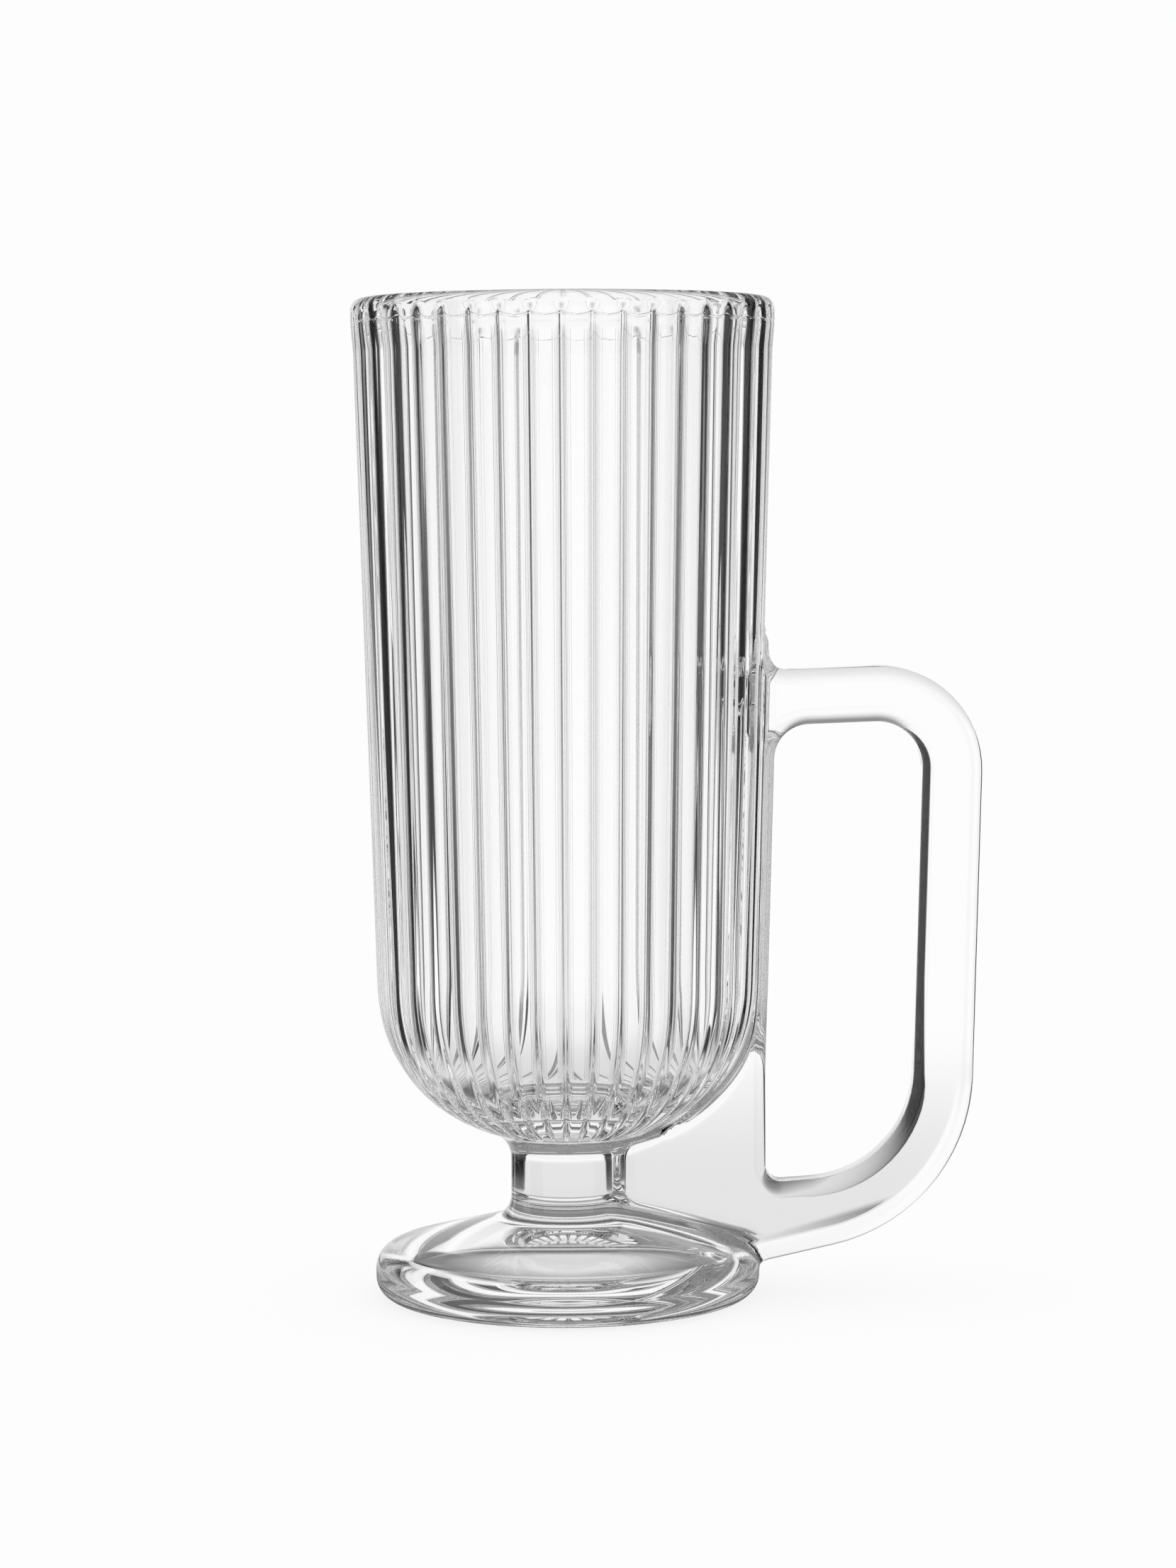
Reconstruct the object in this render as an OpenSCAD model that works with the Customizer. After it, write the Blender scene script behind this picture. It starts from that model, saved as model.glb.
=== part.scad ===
/* [Bowl] */
// Height of the whole glass, from the table to the top of the lip
cup_h = 155; // [140:1:175]
// Outside diameter of the lip band
rim_d = 65.4; // [60:0.2:72]
// Thickness of the lip, which is fully rounded on top
lip_wall = 3.6; // [2.8:0.1:4.4]
// Height of the smooth lip band above the ribs
lip_h = 4; // [2.6:0.1:6]
// How far the lip band stands out past the crests of the ribs
band_proud = 0.35; // [0.1:0.05:0.8]
// Radius over the crests of the ribs where the wall meets the rounded bottom
shoulder_r = 29.52; // [26:0.1:31]
// Height of that shoulder above the table
shoulder_z = 49.95; // [45:0.05:56]
// Wall thickness from a rib's crest to the inside, at the shoulder
bowl_wall = 3.8; // [3:0.1:5]
// Depth of the rounded bottom's outside, from the shoulder to its lowest point on the axis
bottom_depth = 25.88; // [24:0.05:29]
// Depth of the rounded bottom's inside, from the inner shoulder to the drinking floor
floor_depth = 20; // [16:0.1:22]
// How far the inner shoulder lies above the outer one
floor_lift = 0; // [0:0.05:4]
// Depth of the grooves between the ribs
rib_depth = 0.8; // [0.4:0.05:1.2]
// Number of ribs round the bowl
rib_count = 44; // [24:4:60]

/* [Stem] */
// Diameter of the stem at its waist
stem_d = 17.55; // [14:0.05:20]
// Radius of the fillet from the stem up into the bowl
stem_top_fillet_r = 4.25; // [2.5:0.05:5]
// Radius of the fillet from the stem down into the foot
stem_foot_fillet_r = 3.82; // [2.5:0.02:4.2]

/* [Foot] */
// Diameter of the foot
foot_d = 59.94; // [54:0.02:66]
// Height at which the foot's sloping top would meet the axis
foot_apex_z = 14.96; // [14:0.02:15.6]
// Fall of the foot's top, in degrees
foot_fall = 14.7; // [12:0.1:16]
// Radius of the foot's upper edge
foot_top_edge_r = 3.67; // [2:0.01:4]
// Radius of the foot's lower edge
foot_low_edge_r = 3.09; // [2:0.01:4]
// Width of the ring that the glass stands on
rest_ring_w = 2.4; // [1.5:0.1:5]
// Height of the domed hollow under the foot
hollow_depth = 6; // [3:0.1:8]

/* [Handle] */
// Thickness of the handle, the web and the spine, across the glass
handle_t = 8.4; // [6:0.1:10]
// Radius of the handle's long edges
handle_edge_r = 2.4; // [1:0.1:2.8]
// Distance from the glass's axis to the outside of the grip at its reference height
grip_out_x = 63.38; // [56:0.02:72]
// Reference height of the grip
grip_ref_z = 36; // [32:0.5:42]
// Width of the grip, from the finger gap to the outside
grip_w = 9.33; // [7:0.01:11]
// Outward lean of the grip, in degrees
grip_lean = 1.63; // [0:0.01:3]
// Height of the upper arm's top at its reference distance
arm_top_z = 97.95; // [90:0.05:110]
// Reference distance of the upper arm from the axis
arm_ref_x = 43; // [40:0.5:46]
// Height of the upper arm's section
arm_w = 8.62; // [7:0.02:10]
// Rise of the upper arm, in degrees
arm_rise = 2.1; // [0:0.1:4]
// Outer radius of the upper corner
top_out_r = 16.1; // [12:0.1:20]
// Inner radius of the upper corner
top_in_r = 7; // [4:0.1:9]
// Outer radius of the lower bend
low_out_r = 28; // [22:0.5:32]
// Inner radius of the lower bend
low_in_r = 17.3; // [13:0.1:19]
// Height of the handle's underside where it reaches the foot's edge
heel_z = 5.2; // [4.6:0.05:6]
// How far that place stands out past the foot's edge
heel_out = 0.73; // [0.3:0.05:1.5]
// Rise of the handle's underside from the foot, in degrees
heel_rise = 12.7; // [9:0.1:16]
// Radius of the hollow flare from the upper arm up to the bowl's wall
flare_r = 4.2; // [2.5:0.1:6]

/* [Finger gap] */
// Height of the gap's floor beside the web
gap_floor_z = 17.7; // [16:0.05:20]
// Rise of the gap's floor towards the grip, in degrees
gap_floor_rise = 4; // [0:0.5:8]
// Radius of the gap's corner at the foot of the web
gap_low_r = 2.5; // [1.5:0.1:4]
// Radius of the gap's corner under the upper arm, beside the bowl
gap_top_r = 5.6; // [3:0.1:7]
// How far the spine's edge stands out past the crests of the ribs
spine_proud = 1.85; // [1:0.05:3]
// How far the web's upright edge stands out past the shoulder
web_edge_out = 1.43; // [1:0.05:2.4]

/* [Hidden] */
$fn = 96;
glass_clear = [0.86, 0.9, 0.9, 0.45];
glass_dim = [0.78, 0.84, 0.85, 0.45];

// Fineness of curves, as counts
arc_steps = 6;
fillet_steps = 4;
bottom_steps = 9;
bend_steps = 12;
edge_steps = 3;
rib_facets = 4;
solve_steps = 24;
// Angles between which the upper fillet's touching place is sought, and half the span of a normal
touch_from = 2;
touch_to = 88;
normal_span = 0.5;

// Shape of the rounded bottom, outside and inside: 2 is an ellipse, more is squarer
bottom_power = 2.284;
floor_power = 2.8;
// Where the stem is parted from the bowl, as a share of the upper fillet, and from the foot, of the lower one
stem_top_share = 0.465;
stem_low_share = 0.68;
// Places inside the glass that the web's and spine's hidden edges run to, as shares of nearby sizes
buried_share = 0.72;
deep_share = 0.17;
web_top_share = 0.96;
// How far above the flare's tip the ribs start again, as a share of the flare's radius
join_clear_share = 0.5;

// Overrun of every cut
cut_over = 1;
// How deep the flare's tip starts inside the wall
flare_bite = 0.15;

// Lip and wall
lip_r = rim_d / 2;
bowl_top_z = cup_h - lip_h;
crest_top_r = lip_r - band_proud;
wall_slope = (crest_top_r - shoulder_r) / (bowl_top_z - shoulder_z);
lip_mid_z = cup_h - lip_wall / 2;
inner_shoulder_z = shoulder_z + floor_lift;
inner_slope = (lip_r - lip_wall - shoulder_r + bowl_wall) / (lip_mid_z - shoulder_z);
function crest_r(z) = shoulder_r + (z - shoulder_z) * wall_slope;
function inner_r(z) = shoulder_r - bowl_wall + (z - shoulder_z) * inner_slope;

// Points of an arc in the plane of radius and height
function arc(c, r, a0, a1, steps) =
    [for (i = [0:steps]) let(a = a0 + (a1 - a0) * i / steps) [c.x + r * cos(a), c.y + r * sin(a)]];

// Rounded bottoms, by an angle from 0 on the axis to 90 at the shoulder
function bottom_pt(a) =
    let(z = shoulder_z - bottom_depth * pow(cos(a), 2 / bottom_power))
    [crest_r(z) * pow(sin(a), 2 / bottom_power), z];
function floor_pt(a) =
    let(z = inner_shoulder_z - floor_depth * pow(cos(a), 2 / floor_power))
    [inner_r(z) * pow(sin(a), 2 / floor_power), z];
// Unit normal of the outside, pointing away from the glass
function bottom_n(a) =
    let(d = bottom_pt(min(a + normal_span, 90)) - bottom_pt(a - normal_span), n = [d.y, -d.x])
    n / norm(n);

// Upper fillet: the angle on the bottom where a ball that rolls against the stem touches it
stem_r = stem_d / 2;
top_fillet_x = stem_r + stem_top_fillet_r;
function touch(lo, hi, left) =
    let(mid = (lo + hi) / 2)
    left == 0 ? mid :
    bottom_pt(mid).x + stem_top_fillet_r * bottom_n(mid).x < top_fillet_x
        ? touch(mid, hi, left - 1) : touch(lo, mid, left - 1);
touch_a = touch(touch_from, touch_to, solve_steps);
top_fillet_c = [top_fillet_x, (bottom_pt(touch_a) + stem_top_fillet_r * bottom_n(touch_a)).y];
top_fillet_end = 180 + atan(bottom_n(touch_a).y / bottom_n(touch_a).x);
top_part_a = 180 - asin(stem_top_share);
stem_top_z = top_fillet_c.y + stem_top_fillet_r * stem_top_share;

// Lower fillet, tangent to the stem and to the foot's sloping top
foot_r = foot_d / 2;
low_fillet_x = stem_r + stem_foot_fillet_r;
function foot_top_z(r) = foot_apex_z - r * tan(foot_fall);
low_fillet_c = [low_fillet_x, foot_top_z(low_fillet_x) + stem_foot_fillet_r / cos(foot_fall)];
low_part_a = 180 + asin(stem_low_share);
stem_low_z = low_fillet_c.y - stem_foot_fillet_r * stem_low_share;

// Foot's edge
edge_top_x = foot_r - foot_top_edge_r;
edge_top_c = [edge_top_x, foot_top_z(edge_top_x) - foot_top_edge_r / cos(foot_fall)];
edge_low_c = [foot_r - foot_low_edge_r, foot_low_edge_r];
ring_in_r = edge_low_c.x - rest_ring_w;
dome_r = (ring_in_r * ring_in_r + hollow_depth * hollow_depth) / (2 * hollow_depth);
dome_half_a = asin(ring_in_r / dome_r);

// Outline of the outside over the crests, from the foot's underside up to the lip band
foot_outline = concat(
    arc(edge_low_c, foot_low_edge_r, -90, 0, arc_steps),
    arc(edge_top_c, foot_top_edge_r, 0, 90 - foot_fall, arc_steps),
    arc(low_fillet_c, stem_foot_fillet_r, 270 - foot_fall, low_part_a, arc_steps));
stem_outline = concat(
    arc(low_fillet_c, stem_foot_fillet_r, low_part_a, 180, arc_steps),
    arc(top_fillet_c, stem_top_fillet_r, 180, top_part_a, arc_steps));
fillet_outline = arc(top_fillet_c, stem_top_fillet_r, top_part_a, top_fillet_end, fillet_steps);
bottom_angles = [for (i = [1:bottom_steps]) touch_a + (90 - touch_a) * i / bottom_steps];
bowl_outline = concat(
    fillet_outline,
    [for (a = bottom_angles) bottom_pt(a)],
    [[crest_top_r, bowl_top_z]]);
inner_outline = concat(
    [for (i = [0:bottom_steps]) floor_pt(90 * i / bottom_steps)],
    [[inner_r(bowl_top_z), bowl_top_z]]);

// Lines in the handle's plane, each a point and a direction in degrees
function along(l, d) = [l.x.x + d * cos(l.y), l.x.y + d * sin(l.y)];
function meet(l, m) =
    let(w = m.x - l.x, s = sin(m.y - l.y), d = (w.x * sin(m.y) - w.y * cos(m.y)) / s)
    along(l, d);
function at_x(l, x) = [x, l.x.y + (x - l.x.x) * tan(l.y)];
function on_line(l, z) = [l.x.x + (z - l.x.y) / tan(l.y), z];

wall_dir = 90 - atan(wall_slope);
arm_top = [[arm_ref_x, arm_top_z], arm_rise];
arm_low = [[arm_ref_x, arm_top_z - arm_w], arm_rise];
grip_out = [[grip_out_x, grip_ref_z], 90 - grip_lean];
grip_in = [[grip_out_x - grip_w, grip_ref_z], 90 - grip_lean];
heel = [[foot_r + heel_out, heel_z], heel_rise];
web_edge_x = shoulder_r + web_edge_out;
gap_floor = [[web_edge_x + gap_low_r, gap_floor_z], gap_floor_rise];
web_edge = [[web_edge_x, gap_floor_z], 90];
spine_edge = [[shoulder_r + spine_proud, shoulder_z], wall_dir];
wall_line = [[shoulder_r - flare_bite, shoulder_z], wall_dir];

// Arc that rounds the corner between two lines, from the first line to the second
function corner(p0, p1, p2, r, steps) =
    let(
        u = (p0 - p1) / norm(p0 - p1),
        v = (p2 - p1) / norm(p2 - p1),
        half = acos(u * v) / 2,
        c = p1 + (u + v) / norm(u + v) * r / sin(half),
        s = p1 + u * r / tan(half) - c,
        e = p1 + v * r / tan(half) - c,
        a0 = atan2(s.y, s.x),
        turn = (atan2(e.y, e.x) - a0 + 540) % 360 - 180)
    arc(c, r, a0, a0 + turn, steps);

// Corners of the finger gap and of the handle's outside
gap_a = meet(web_edge, gap_floor);
gap_b = meet(gap_floor, grip_in);
gap_c = meet(grip_in, arm_low);
gap_d = meet(arm_low, spine_edge);
gap_e = meet(spine_edge, web_edge);
out_b = meet(heel, grip_out);
out_c = meet(grip_out, arm_top);
out_d = meet(arm_top, wall_line);
gap_corner_low = corner(gap_b, gap_a, gap_e, gap_low_r, arc_steps);
gap_corner_top = corner(gap_e, gap_d, gap_c, gap_top_r, bend_steps);
flare = corner(on_line(wall_line, cup_h), out_d, out_c, flare_r, arc_steps);

// Ends of the handle, where it joins the spine above and the web below
arm_root = gap_corner_top[bend_steps];
web_root = gap_corner_low[0];

// Handle: matching points on the finger gap's side and on the outside
handle_in = concat(
    [arm_root],
    corner(arm_root, gap_c, gap_b, top_in_r, bend_steps),
    corner(gap_c, gap_b, gap_a, low_in_r, bend_steps),
    [web_root]);
handle_out = concat(
    [at_x(arm_top, arm_root.x)],
    corner(out_d, out_c, out_b, top_out_r, bend_steps),
    corner(out_c, out_b, heel.x, low_out_r, bend_steps),
    [at_x(heel, web_root.x)]);

// Web: its edge round the gap's lower corner and up, against places buried in the foot, the stem and the bowl
web_top_z = shoulder_z * web_top_share;
web_in = concat(gap_corner_low, [gap_e, on_line(spine_edge, web_top_z)]);
web_out = [
    at_x(heel, web_root.x),
    at_x(heel, foot_r - foot_low_edge_r),
    [foot_r * buried_share, edge_top_c.y],
    [stem_r * deep_share, edge_top_c.y],
    [stem_r * deep_share, low_fillet_c.y],
    [stem_r * deep_share, top_fillet_c.y],
    [stem_r * buried_share, shoulder_z - bottom_depth * buried_share],
    [stem_r, shoulder_z - bottom_depth * deep_share],
    [shoulder_r * buried_share, web_top_z]];

// Spine: its edge up the bowl and round the gap's upper corner, against the wall's inside and the flare
spine_in = concat([on_line(spine_edge, web_top_z)], gap_corner_top);
spine_rise = arm_top_z - gap_corner_top[0].y;
spine_out = concat(
    [
        [shoulder_r * buried_share, web_top_z],
        [shoulder_r * buried_share, gap_corner_top[0].y],
        [shoulder_r * buried_share, gap_corner_top[0].y + spine_rise / 2],
        [shoulder_r * buried_share, arm_top_z],
        [shoulder_r * buried_share, flare[0].y + flare_r / 2],
        [(shoulder_r * buried_share + flare[0].x) / 2, flare[0].y + flare_r / 2]],
    flare,
    [at_x(arm_top, arm_root.x)]);

// One section of a slab: a rounded rectangle across the glass between two points of its plane
function section(a, b) =
    let(
        w = norm(b - a),
        e = (b - a) / w,
        y = handle_t / 2 - handle_edge_r,
        q = [for (i = [0:edge_steps]) 90 * i / edge_steps])
    [for (p = concat(
        [for (t = q) [handle_edge_r - handle_edge_r * sin(t), y + handle_edge_r * cos(t)]],
        [for (t = q) [handle_edge_r - handle_edge_r * cos(t), -y - handle_edge_r * sin(t)]],
        [for (t = q) [w - handle_edge_r + handle_edge_r * sin(t), -y - handle_edge_r * cos(t)]],
        [for (t = q) [w - handle_edge_r + handle_edge_r * cos(t), y + handle_edge_r * sin(t)]]))
        [a.x + e.x * p.x, p.y, a.y + e.y * p.x]];

// A slab swept through the sections between two matching rows of points
module slab(near, far) {
    rings = [for (i = [0:len(near) - 1]) section(near[i], far[i])];
    n = len(rings[0]);
    last = len(rings) - 1;
    polyhedron(
        points = [for (ring = rings) for (p = ring) p],
        faces = concat(
            [[for (j = [n - 1:-1:0]) j]],
            [[for (j = [0:n - 1]) last * n + j]],
            [for (i = [0:last - 1]) for (j = [0:n - 1]) let(k = (j + 1) % n)
                each [[i * n + j, i * n + k, (i + 1) * n + k],
                      [i * n + j, (i + 1) * n + k, (i + 1) * n + j]]]));
}

// Ribs: how far a point of the outside lies below the crests, by its place round the bowl
around = rib_count * rib_facets;
function groove(i) = let(s = (i % rib_facets) / rib_facets) pow(abs(2 * s - 1), 2);
// The ribs stop where the web and the spine are joined on, and start again above the flare
function joined(r, a) = cos(a) > 0 && abs(r * sin(a)) < handle_t / 2 + r * sin(360 / around);
join_top_z = flare[0].y + flare_r * join_clear_share;
function bowl_point(p, n, fade, i) =
    let(
        a = 360 * i / around,
        plain = p.y <= join_top_z && joined(p.x, a),
        d = plain ? 0 : rib_depth * fade * min(1, p.x / shoulder_r) * groove(i),
        r = p.x - d * n.x)
    [r * cos(a), r * sin(a), p.y - d * n.y];
// Rows of the bowl's outside, from the stem up: the place over the crests, the normal and the ribs' strength
wall_n = [cos(atan(wall_slope)), -sin(atan(wall_slope))];
wall_end_z = bowl_top_z + cut_over;
wall_rows = [join_top_z, join_top_z + rib_depth, wall_end_z];
bowl_rows = concat(
    [for (i = [0:fillet_steps]) [fillet_outline[i], i == 0 ? [1, 0] : [0, -1], i / fillet_steps]],
    [for (a = bottom_angles) [bottom_pt(a), bottom_n(a), 1]],
    [for (z = wall_rows) [[crest_r(z), z], z == wall_end_z ? [1, 0] : wall_n, 1]]);

module outer_bowl() {
    last = len(bowl_rows) - 1;
    polyhedron(
        points = [for (row = bowl_rows) for (i = [0:around - 1]) bowl_point(row.x, row.y, row.z, i)],
        faces = concat(
            [[for (i = [0:around - 1]) i]],
            [[for (i = [around - 1:-1:0]) last * around + i]],
            [for (j = [0:last - 1]) for (i = [0:around - 1]) let(k = (i + 1) % around)
                each [[j * around + i, (j + 1) * around + k, j * around + k],
                      [j * around + i, (j + 1) * around + i, (j + 1) * around + k]]]));
}

// The outside over the crests, solid, for cutting what joins it
module crest_solid() {
    rotate_extrude() polygon(concat(
        [[0, 0]],
        foot_outline,
        stem_outline,
        bowl_outline,
        [[0, bowl_top_z]]));
}

module rim() {
    color(glass_clear)
    rotate_extrude() polygon(concat(
        [[inner_r(bowl_top_z), bowl_top_z]],
        [[lip_r, bowl_top_z]],
        arc([lip_r - lip_wall / 2, lip_mid_z], lip_wall / 2, 0, 180, bend_steps)));
}

// The space inside the bowl, and all that lies over the plane where the lip band is parted from it
module bowl_space() {
    rotate_extrude() polygon(concat(
        inner_outline,
        [[lip_r + cut_over, bowl_top_z], [lip_r + cut_over, wall_end_z + cut_over]],
        [[0, wall_end_z + cut_over]]));
}

module bowl() {
    color(glass_clear)
    difference() {
        outer_bowl();
        bowl_space();
    }
}

module stem() {
    color(glass_dim)
    rotate_extrude() polygon(concat([[0, stem_low_z]], stem_outline, [[0, stem_top_z]]));
}

module foot() {
    color(glass_clear)
    rotate_extrude() polygon(concat(
        arc([0, hollow_depth - dome_r], dome_r, 90, 90 - dome_half_a, 2 * arc_steps),
        foot_outline,
        [[0, stem_low_z]]));
}

module handle() {
    color(glass_dim)
    slab(handle_in, handle_out);
}

module web() {
    color(glass_clear)
    difference() {
        slab(web_in, web_out);
        crest_solid();
    }
}

module spine() {
    color(glass_dim)
    difference() {
        slab(spine_in, spine_out);
        crest_solid();
    }
}

rim();
bowl();
stem();
foot();
handle();
web();
spine();
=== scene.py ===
"""Footed glass mug with a ribbed bowl and a loop handle: the looks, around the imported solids."""
import math

import bpy
import bmesh
import numpy as np
from mathutils import Matrix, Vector
from mathutils.kdtree import KDTree


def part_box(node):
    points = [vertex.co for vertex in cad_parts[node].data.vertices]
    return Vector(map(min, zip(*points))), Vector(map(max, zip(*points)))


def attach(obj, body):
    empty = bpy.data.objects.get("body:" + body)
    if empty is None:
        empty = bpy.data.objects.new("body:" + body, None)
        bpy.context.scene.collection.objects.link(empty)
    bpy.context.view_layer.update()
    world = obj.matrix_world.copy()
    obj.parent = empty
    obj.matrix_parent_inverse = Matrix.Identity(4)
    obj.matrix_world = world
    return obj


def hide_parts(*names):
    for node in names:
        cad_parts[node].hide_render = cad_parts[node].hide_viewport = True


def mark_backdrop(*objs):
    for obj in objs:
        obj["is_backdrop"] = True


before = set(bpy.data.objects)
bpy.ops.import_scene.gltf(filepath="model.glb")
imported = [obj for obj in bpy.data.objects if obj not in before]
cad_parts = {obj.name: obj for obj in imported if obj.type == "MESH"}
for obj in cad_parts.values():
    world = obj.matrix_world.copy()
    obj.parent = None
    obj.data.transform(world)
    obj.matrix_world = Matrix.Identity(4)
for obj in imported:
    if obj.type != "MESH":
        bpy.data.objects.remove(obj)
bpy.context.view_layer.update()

# Sizes in millimetres, in the frame of the solids
MM = 0.001


def reach(node, axis, end):
    """Lowest (end 0) or highest (end 1) place of a solid along an axis."""
    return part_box(node)[end][axis] / MM


CUP_H = reach("rim", 2, 1)
LIP_R = reach("rim", 0, 1)
BAND_Z = reach("rim", 2, 0)
STEM_TOP_Z = reach("stem", 2, 1)
STEM_LOW_Z = reach("stem", 2, 0)
FOOT_R = reach("foot", 0, 1)
SPINE_LOW_Z = reach("spine", 2, 0)
PLATE_T = reach("handle", 1, 1) - reach("handle", 1, 0)

# Bowl
LIP_WALL = 3.6
BAND_PROUD = 0.25
BAND_SWELL_R = 15.0
BAND_SWELL = 4.0
SHOULDER_R = 29.52
SHOULDER_Z = 49.95
BOWL_WALL = 3.8
BOTTOM_DEPTH = 25.88
BOTTOM_POWER = 2.284
FLOOR_DEPTH = 20.0
FLOOR_POWER = 2.8
# Stem and foot
STEM_R = 8.775
STEM_TOP_FILLET = 4.25
STEM_FOOT_FILLET = 3.82
FOOT_APEX_Z = 14.96
FOOT_FALL = math.radians(14.7)
FOOT_TOP_EDGE = 3.67
FOOT_LOW_EDGE = 3.09
REST_RING_W = 2.4
HOLLOW_DEPTH = 6.0
RING_IN_R = FOOT_R - FOOT_LOW_EDGE - REST_RING_W
# The dome ends this far inside the rest ring, and a short slope leads on, with a rounded corner at the ring
RING_EDGE = 0.5
RING_CORNER_R = 0.125
# Ribs
RIBS = 44
RIB_DEPTH = 0.95
RIB_POWER = 5
VALLEY_R = 0.18
RIB_START_R = 11.6
RIB_FULL_R = 14.6
RIB_FADE_Z = 151.6
RIB_END_Z = 153.9
# Columns of the mesh from a valley to the next crest, closer together in the valley
VALLEY_SHARES = (0, 0.03, 0.06, 0.10, 0.15, 0.22, 0.31, 0.43, 0.62)
# Scalloped mould seam where the ribs end under the lip
SEAM_ROWS_Z = 1.0
SEAM_RISE = 0.65
SEAM_POWER = 1.7
SEAM_OVER = 0.1
SEAM_DEPTH = 0.09
SEAM_WIDTH = 0.12
# Handle, web and spine
EDGE_R = 2.4
EDGE_POWER = 1.5
GRIP_OUT_X = 63.38
GRIP_REF_Z = 36.0
GRIP_W = 9.33
GRIP_LEAN = math.radians(1.63)
ARM_TOP_Z = 97.95
ARM_REF_X = 43.0
ARM_W = 8.62
ARM_RISE = math.radians(2.1)
TOP_OUT_R = 16.1
TOP_IN_R = 7.0
LOW_OUT_R = 28.0
LOW_IN_R = 17.3
HEEL_Z = 5.2
HEEL_OUT = 0.73
HEEL_RISE = math.radians(12.7)
FLARE_R = 3.4
FLARE_BITE = 0.15
FLARE_TIP_R = 0.6
GAP_FLOOR_Z = 17.7
GAP_FLOOR_RISE = math.radians(4)
GAP_LOW_R = 2.5
GAP_TOP_R = 5.6
SPINE_PROUD = 1.85
WEB_EDGE_OUT = 1.43
KNEE_R = 30.0
# Hidden side of the web and spine, inside the mug
CORE_R = 1.5
CORE_FLARE_R = 4.5
DEEP_R = 21.6
DEEP_Z = 7.0
CORE_LOW_Z = 16.2
CORE_TOP_Z = 21.5
CORE_RISE_Z = 31.3
WEB_RISE = 14.2
BURIED_R = 21.25
# Reach of the fillets where the plate of the handle meets the bowl, stem and foot, and at the foot's edge
FILLET_REACH = 3.0
HEEL_FILLET_REACH = 1.3
HEEL_FROM_X = 26.0
HEEL_SPAN = 3.0
HEEL_BELOW_Z = 8.5
# Where the fillet's points are looked for, and how close to a surface a point counts as on it
BLEND_FROM_X = 5.0
SURFACE = 0.02

# Fineness of the meshes, and steps and limits of the working
FINE = 0.05
LIP_STEP = 0.2
FILLET_STEP = 0.4
PLAIN_STEP = 0.8
WALL_STEP = 5.0
TURN_STEP = 0.5
TURN = math.radians(6)
LEAST_LINE_STEPS = 2
LEAST_ARC_STEPS = 4
CURVE_SAMPLES = 4001
EDGE_STEPS = 10
SIDE_STEPS = 44
CORNER_STATIONS = 7
TOP_STATIONS = 13
FLARE_STATIONS = 6
FIRST_TURN = 0.02
TURN_NUDGE = 0.002
HALVINGS = 40
SETTLE_STEPS = 8
SEEN_DEPTH = 3.0
WELD = 0.0003
TINY = 1e-9
FAR = 1000.0
# The mug goes through the booleans up to this height. The plate ends below it.
CUT_Z = 110.0

# Pieces, as tags on faces. Above them: the cap of the draft, the ring between rim and bowl, and hidden faces.
NAMES = ("rim", "bowl", "stem", "foot", "handle", "web", "spine")
RIM, BOWL, STEM, FOOT, HANDLE, WEB, SPINE = range(len(NAMES))
CAP = len(NAMES)
LIP_RING = CAP + 1
TAGS = LIP_RING + 1
HIDDEN = 10

# Glass, floor, and levels of brightness. Lengths from here on are in metres.
GLASS_TINT = (1.0, 1.0, 1.0, 1.0)
GLASS_IOR = 1.5
GLASS_ROUGHNESS = 0.0
WAVE_LENGTH = 0.012
WAVE = 0.000003
WAVE_DETAIL = 1
GRAIN_LENGTH = 0.0005
GRAIN = 0.00003
GRAIN_DETAIL = 2
GRAIN_FULL_Z = 0.0003
GRAIN_END_Z = 0.0009
WHITE = 0.98
DARK = 0.01
FLOOR_GAP = 0.0001
FLOOR_HALF = 3.0
SHADOW_REACH = 0.03
SHADOW_DEPTH = 0.12
SHADOW_SAMPLES = 16
# The tent round the mug. Its dark stripes and their soft edges are in degrees, from straight behind the mug
# to the right, and the painted shade on its floor, a dark ring round the foot and grey near the mug, is
# measured from the mug's axis.
TENT_R = 0.4
TENT_H = 0.5
TENT_RINGS = 41
TENT_COLUMNS = 720
STRIPES = ((-130, -100), (-80, -50), (-41, -29), (34, 80), (100, 125))
STRIPE_SOFT = 2.5
STRIPE_NEAR = 0.04
STRIPE_FULL = 0.12
# Painted shade: a dark ring on the tent's floor round the foot.
RING_SHADE_LEVEL = 0.1
RING_SHADE_IN = 0.0185
RING_SHADE_OUT = 0.0425
RING_SHADE_SOFT_IN = 0.005
RING_SHADE_SOFT_OUT = 0.015
# Painted shadow: the tent's floor greys towards the mug, for the mug's shadow as the glass sees the floor.
PAINTED_SHADE_LEVEL = 0.78
PAINTED_SHADE_FULL_R = 0.1
PAINTED_SHADE_END_R = 0.32
TOP_LEVEL = 0.25
TOP_FROM_Z = 0.17
TOP_FULL_Z = 0.32
# The camera, with sensor and lens in millimetres and angles in radians, and the bounces of light
SENSOR = 36.0
LENS = 125.12
CLIP_END = 20.0
CAMERA_PLACE = (0.00355, -0.6335, 0.1275)
CAMERA_DOWN = 0.075
CAMERA_ROLL = -0.0052
BOUNCES = 32


def unit(v):
    return v / np.linalg.norm(v)


def crest_r(z):
    """Radius over the ribs' crests, up the wall and carried on below the shoulder."""
    slope = (LIP_R - BAND_PROUD - SHOULDER_R) / (BAND_Z - SHOULDER_Z)
    return SHOULDER_R + (z - SHOULDER_Z) * slope


def inner_r(z):
    """Radius of the inside, up the wall and carried on below the shoulder."""
    lip_mid_z = CUP_H - LIP_WALL / 2
    slope = (LIP_R - LIP_WALL - SHOULDER_R + BOWL_WALL) / (lip_mid_z - SHOULDER_Z)
    return SHOULDER_R - BOWL_WALL + (z - SHOULDER_Z) * slope


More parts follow.
